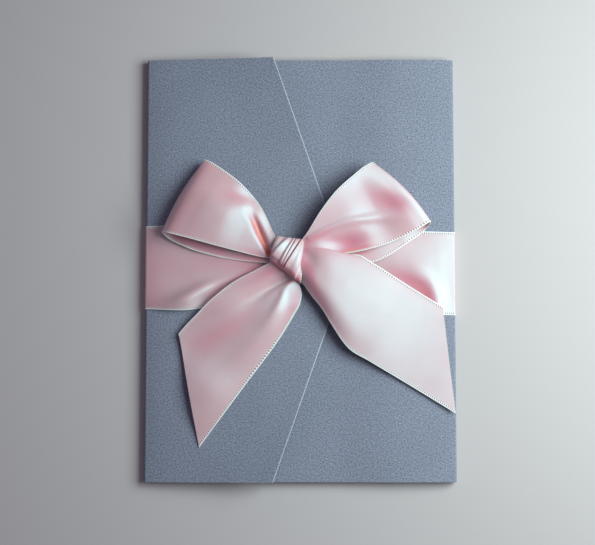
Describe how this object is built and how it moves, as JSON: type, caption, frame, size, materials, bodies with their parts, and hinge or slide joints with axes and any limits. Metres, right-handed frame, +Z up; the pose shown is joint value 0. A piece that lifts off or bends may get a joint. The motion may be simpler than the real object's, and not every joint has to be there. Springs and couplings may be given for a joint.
{
  "type": "wedding invitation folder",
  "caption": "Flat gatefold card folder with a pointed flap, a pocket of inserts and a wide satin ribbon tied in a bow.",
  "frame": {"origin": "centre of the folder's underside, on the ribbon's back band", "axes": "+X across the folder to its right edge, +Y to its head, +Z up through the bow"},
  "size_m": [0.1306, 0.178, 0.0173],
  "materials": {
    "card": "matte felt-textured card",
    "tape": "matte",
    "mat": "pearl card",
    "insert": "uncoated",
    "envelope": "uncoated",
    "ribbon": "satin"
  },
  "bodies": {
    "back": {"back_panel": "card", "ribbon_back_band": "ribbon", "pocket": "card", "pocket_tape": "tape"},
    "left_spine": {"left_spine": "card", "ribbon_left_wrap": "ribbon"},
    "right_spine": {"right_spine": "card", "ribbon_right_wrap": "ribbon"},
    "left_flap": {"left_flap": "card", "ribbon_left_band": "ribbon", "bow_knot": "ribbon", "bow_left_loop": "ribbon", "bow_right_loop": "ribbon", "bow_left_tail": "ribbon", "bow_right_tail": "ribbon"},
    "right_flap": {"right_flap": "card", "ribbon_right_band": "ribbon"},
    "invitation": {"invitation_mat": "mat", "mat_tape": "tape", "invitation_card": "insert"},
    "details": {"details_card": "insert"},
    "reply_set": {"reply_envelope_back": "envelope", "reply_envelope_front": "envelope", "reply_envelope_flap": "envelope", "reply_card": "insert"}
  },
  "joints": [
    {"name": "left_flap_fold", "type": "hinge", "parent": "left_spine", "child": "left_flap", "pos_m": [-0.065, 0, 0.0049], "axis": [0, -1, 0], "range_deg": [0, 75]},
    {"name": "left_spine_fold", "type": "hinge", "parent": "back", "child": "left_spine", "pos_m": [-0.065, 0, 0.0007], "axis": [0, -1, 0], "range_deg": [0, 45.5]},
    {"name": "right_flap_fold", "type": "hinge", "parent": "right_spine", "child": "right_flap", "pos_m": [0.065, 0, 0.0039], "axis": [0, 1, 0], "range_deg": [0, 45.5]},
    {"name": "right_spine_fold", "type": "hinge", "parent": "back", "child": "right_spine", "pos_m": [0.065, 0, 0.0007], "axis": [0, 1, 0], "range_deg": [0, 27.5]},
    {"name": "invitation_slide", "type": "slide", "parent": "back", "child": "invitation", "axis": [0, 1, 0], "range_m": [0, 0.062]},
    {"name": "details_slide", "type": "slide", "parent": "back", "child": "details", "axis": [0, 1, 0], "range_m": [0, 0.062]},
    {"name": "reply_slide", "type": "slide", "parent": "back", "child": "reply_set", "axis": [0, 1, 0], "range_m": [0, 0.062]}
  ],
  "couplings": [
    {"joint": "left_spine_fold", "follows": "left_flap_fold", "ratio": 0.6},
    {"joint": "right_flap_fold", "follows": "left_flap_fold", "ratio": 0.6},
    {"joint": "right_spine_fold", "follows": "left_flap_fold", "ratio": 0.36}
  ]
}
